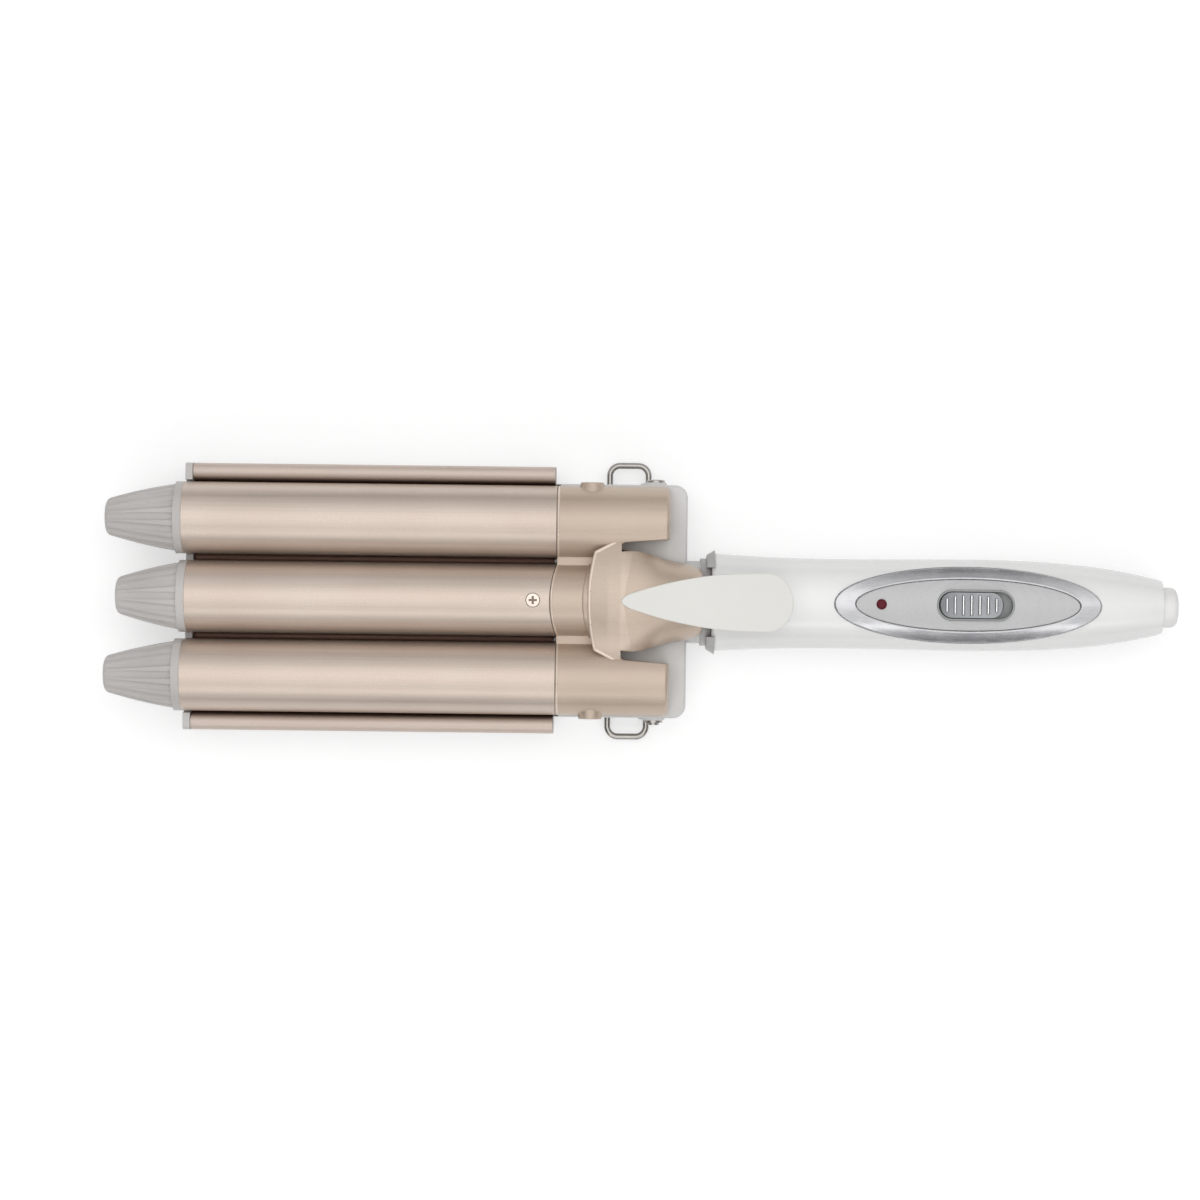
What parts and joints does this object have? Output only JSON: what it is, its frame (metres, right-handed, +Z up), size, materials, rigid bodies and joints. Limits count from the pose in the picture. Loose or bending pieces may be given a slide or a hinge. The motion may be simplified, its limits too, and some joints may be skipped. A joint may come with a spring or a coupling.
{
  "type": "hair waver",
  "caption": "Handheld hair waver: ribbed cool tips on round hot barrels, hinged over a wavy lower plate, with a thumb lever, fold-out wire stand, slide switch and swivelling cord inlet.",
  "frame": {"origin": "middle of the length and width, on the surface that the belly of the lower jaw rests on", "axes": "+X from the cool tips to the cord end of the handle, +Z up through the barrels, jaws closed"},
  "size_m": [0.3728, 0.0978, 0.0426],
  "materials": {
    "barrel_coat": "satin champagne coating on drawn aluminium tube",
    "housing_paint": "satin metallic champagne paint on moulded plastic",
    "tip_plastic": "frosted pale grey heat-proof plastic",
    "white_plastic": "glossy white moulded plastic",
    "lower_plastic": "pale grey heat-proof plastic",
    "wave_coat": "satin champagne coating on pressed aluminium sheet",
    "tray_plastic": "pale grey heat-proof plastic",
    "chrome_plate": "bright chrome plating on moulded plastic",
    "panel_plastic": "silver grey plastic",
    "track_plastic": "mid grey plastic",
    "knob_plastic": "silver metallised plastic",
    "lens_plastic": "clear dark red plastic",
    "collar_plastic": "mid grey plastic",
    "steel": "bright zinc-plated steel",
    "stand_steel": "polished nickel-plated steel wire",
    "spring_steel": "oil-tempered spring wire",
    "frame_plastic": "black glass-filled nylon",
    "heater_ceramic": "unglazed heater ceramic",
    "bare_aluminium": "extruded, as drawn",
    "insulation": "needled glass-fibre felt",
    "board_laminate": "green glass-epoxy laminate",
    "switch_black": "black moulded plastic",
    "brass": "turned",
    "carbon": "pressed carbon",
    "bushing_plastic": "natural acetal",
    "wire_jacket": "heat-proof silicone jacket",
    "gland_plastic": "white moulded plastic"
  },
  "bodies": {
    "handle_and_lower_jaw": {"wave_plate": "wave_coat", "lower_tray": "tray_plastic", "heat_saddles": "bare_aluminium", "plate_heaters": "heater_ceramic", "insulation_sheet": "insulation", "plate_screws": "steel", "tray_screws": "steel", "lower_housing": "lower_plastic", "belly_cover": "lower_plastic", "cover_screws": "steel", "hinge_pin": "steel", "pin_retainer": "steel", "jaw_spring": "spring_steel", "stand_bushings": "bushing_plastic", "guard_collar": "collar_plastic", "handle_top_shell": "white_plastic", "handle_bottom_shell": "white_plastic", "handle_screws": "steel", "bezel_ring": "chrome_plate", "switch_panel": "panel_plastic", "slide_track": "track_plastic", "led_lens": "lens_plastic", "power_led": "lens_plastic", "circuit_board": "board_laminate", "slide_switch": "switch_black", "board_screws": "steel", "brush_holder": "frame_plastic", "contact_brushes": "carbon", "lead_wires": "wire_jacket"},
    "upper_jaw": {"barrel_left": "barrel_coat", "barrel_centre": "barrel_coat", "barrel_right": "barrel_coat", "cool_tip_left": "tip_plastic", "cool_tip_centre": "tip_plastic", "cool_tip_right": "tip_plastic", "heater_left": "heater_ceramic", "heater_centre": "heater_ceramic", "heater_right": "heater_ceramic", "heat_spreader_left": "bare_aluminium", "heat_spreader_centre": "bare_aluminium", "heat_spreader_right": "bare_aluminium", "barrel_carrier": "frame_plastic", "upper_housing": "housing_paint", "barrel_screws": "steel", "housing_screws": "steel", "thumb_lever": "white_plastic", "lever_screws": "steel", "hinge_bushings": "bushing_plastic"},
    "stand": {"counter_stand": "stand_steel"},
    "thumb_slide": {"slide_knob": "knob_plastic", "switch_actuator": "switch_black"},
    "swivel": {"swivel_gland": "gland_plastic", "contact_rings": "brass"}
  },
  "joints": [
    {"name": "jaw_hinge", "type": "hinge", "parent": "handle_and_lower_jaw", "child": "upper_jaw", "pos_m": [0.0042, 0, 0.0154], "axis": [0, 1, 0], "range_deg": [0, 10], "stiffness_Nm_per_rad": 1, "springref_deg": -20.05, "deforming": ["jaw_spring"]},
    {"name": "stand_fold", "type": "hinge", "parent": "handle_and_lower_jaw", "child": "stand", "pos_m": [0.0018, 0, 0.004], "axis": [0, -1, 0], "range_deg": [0, 100]},
    {"name": "switch_slide", "type": "slide", "parent": "handle_and_lower_jaw", "child": "thumb_slide", "axis": [1, 0, 0], "range_m": [0, 0.003]},
    {"name": "cord_swivel", "type": "hinge", "parent": "handle_and_lower_jaw", "child": "swivel", "pos_m": [0.1808, 0, 0.015], "axis": [1, 0, 0], "continuous": true}
  ]
}
